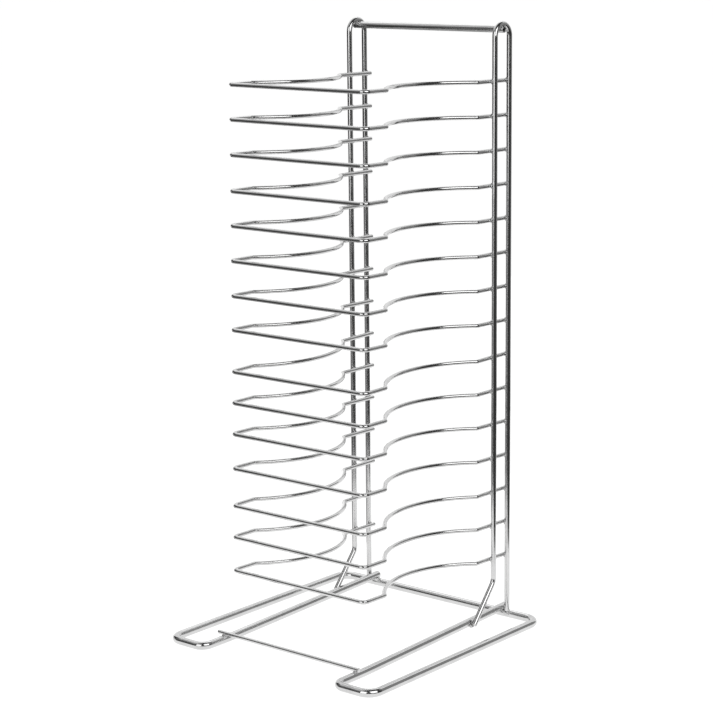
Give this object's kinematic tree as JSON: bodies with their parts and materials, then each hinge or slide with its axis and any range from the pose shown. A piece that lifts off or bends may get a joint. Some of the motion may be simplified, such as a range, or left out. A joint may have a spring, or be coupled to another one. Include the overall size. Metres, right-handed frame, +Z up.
{
  "type": "pizza pan rack",
  "caption": "Free-standing chrome-plated wire rack: a narrow rear frame carries a tall stack of open three-sided shelves for round pans, with a tube handle on top and two long foot loops.",
  "frame": {"origin": "on the floor at the middle of the footprint", "axes": "+Z up, +X to the right of someone facing the rack's front, +Y towards the legs at the rear"},
  "size_m": [0.306, 0.32, 0.7],
  "materials": {
    "base_rod_chrome": "bright chrome plate on 9.5 mm rod",
    "leg_rod_chrome": "bright chrome plate on 6.3 mm rod",
    "shelf_wire_chrome": "bright chrome plate on 4.8 mm wire",
    "handle_tube_chrome": "bright chrome plate on 7.9 mm tube",
    "weld_bead_chrome": "plated over small resistance-weld beads"
  },
  "bodies": {
    "root": {"base_frame": "base_rod_chrome", "front_tie_wire": "shelf_wire_chrome", "left_side_frame": "leg_rod_chrome", "right_side_frame": "leg_rod_chrome", "handle_tube": "handle_tube_chrome", "shelf_01": "shelf_wire_chrome", "shelf_02": "shelf_wire_chrome", "shelf_03": "shelf_wire_chrome", "shelf_04": "shelf_wire_chrome", "shelf_05": "shelf_wire_chrome", "shelf_06": "shelf_wire_chrome", "shelf_07": "shelf_wire_chrome", "shelf_08": "shelf_wire_chrome", "shelf_09": "shelf_wire_chrome", "shelf_10": "shelf_wire_chrome", "shelf_11": "shelf_wire_chrome", "shelf_12": "shelf_wire_chrome", "shelf_13": "shelf_wire_chrome", "shelf_14": "shelf_wire_chrome", "shelf_15": "shelf_wire_chrome", "shelf_welds_left_front": "weld_bead_chrome", "shelf_welds_left_rear": "weld_bead_chrome", "shelf_welds_right_front": "weld_bead_chrome", "shelf_welds_right_rear": "weld_bead_chrome", "base_welds": "weld_bead_chrome", "tie_wire_welds": "weld_bead_chrome", "handle_welds": "weld_bead_chrome"}
  },
  "joints": []
}
